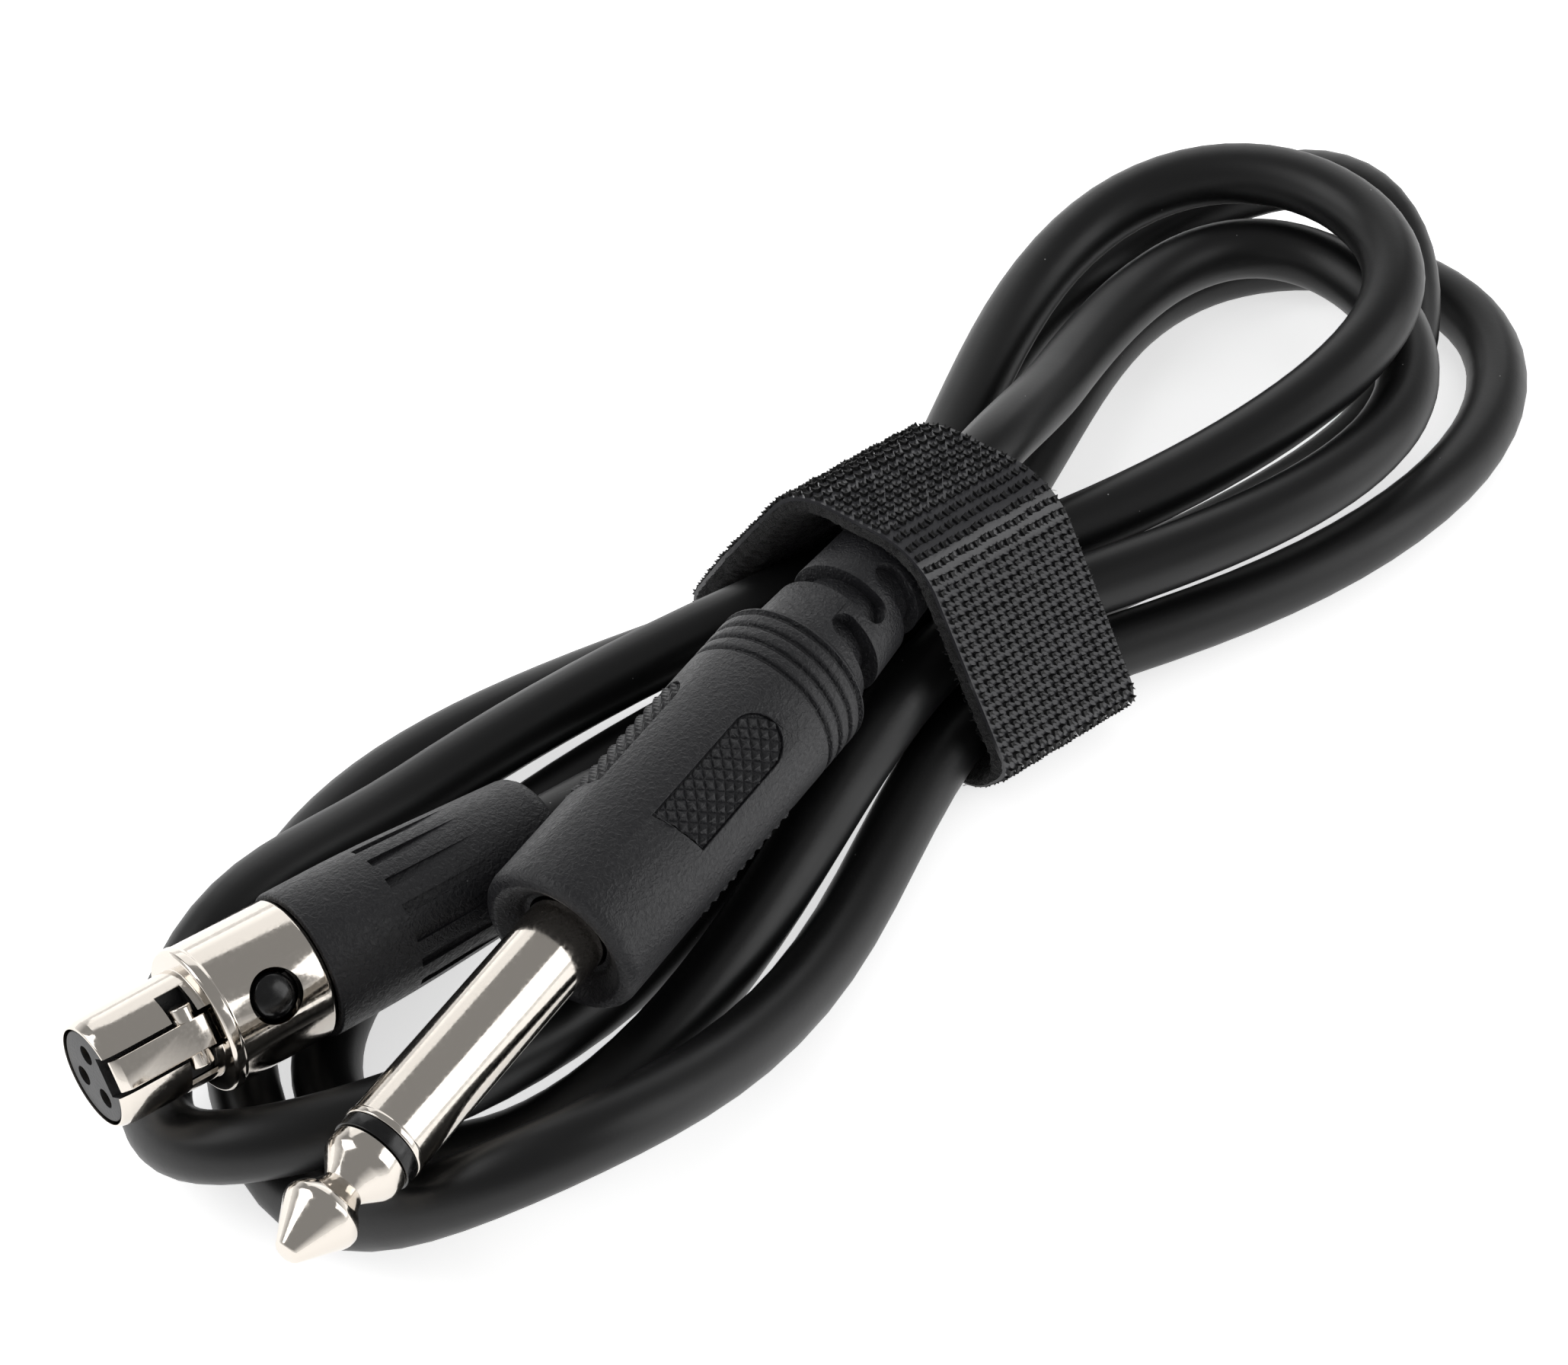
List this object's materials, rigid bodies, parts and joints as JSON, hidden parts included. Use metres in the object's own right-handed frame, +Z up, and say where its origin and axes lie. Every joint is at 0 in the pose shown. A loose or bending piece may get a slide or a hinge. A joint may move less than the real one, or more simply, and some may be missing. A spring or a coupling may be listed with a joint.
{
  "type": "instrument cable",
  "caption": "Instrument cable in a strapped hank: small latching contact socket on one end, moulded 6.35 mm tip-sleeve plug on the other.",
  "frame": {"origin": "middle of the underside of the hank's box, on the surface that it lies on", "axes": "+X along the hank, away from the connectors; +Z up"},
  "size_m": [0.149, 0.0472, 0.0229],
  "materials": {
    "nickel": "bright nickel plate",
    "brass": "plain brass",
    "copper": "bare copper strand",
    "spring_steel": "spring steel",
    "cord_pvc": "satin black flexible PVC",
    "soft_pvc": "grained black moulded PVC",
    "hard_plastic": "black moulded nylon",
    "button_plastic": "glossy black",
    "pale_mould": "natural inner moulding",
    "strap_fabric": "black hook-and-loop tape"
  },
  "bodies": {
    "hank": {"plug_tip": "nickel", "plug_sleeve": "nickel", "tip_insulator": "hard_plastic", "rear_bush": "hard_plastic", "tip_terminal": "brass", "sleeve_terminal": "brass", "inner_mould": "pale_mould", "plug_body": "soft_pvc", "plug_core": "copper", "plug_shield": "copper", "socket_shell": "nickel", "contact_insert": "hard_plastic", "contact_1": "brass", "contact_2": "brass", "contact_3": "brass", "latch_pin": "spring_steel", "cable_clamp": "spring_steel", "socket_boot": "soft_pvc", "socket_core": "copper", "socket_shield": "copper", "cable": "cord_pvc", "strap": "strap_fabric"},
    "button": {"release_button": "button_plastic"},
    "latch": {"latch": "nickel", "latch_spring": "spring_steel"}
  },
  "joints": [
    {"name": "button_press", "type": "slide", "parent": "hank", "child": "button", "axis": [0.0529, 0.7654, -0.6414], "range_m": [0, 0.0004], "stiffness_N_per_m": 200},
    {"name": "latch_swing", "type": "hinge", "parent": "hank", "child": "latch", "pos_m": [-0.05324, 0.00321, 0.0137], "axis": [-0.1306, -0.6314, -0.7643], "range_deg": [0, 3.2], "stiffness_Nm_per_rad": 0.002}
  ],
  "couplings": [
    {"joint": "latch_swing", "follows": "button_press", "rad_per_m": 135.13}
  ]
}
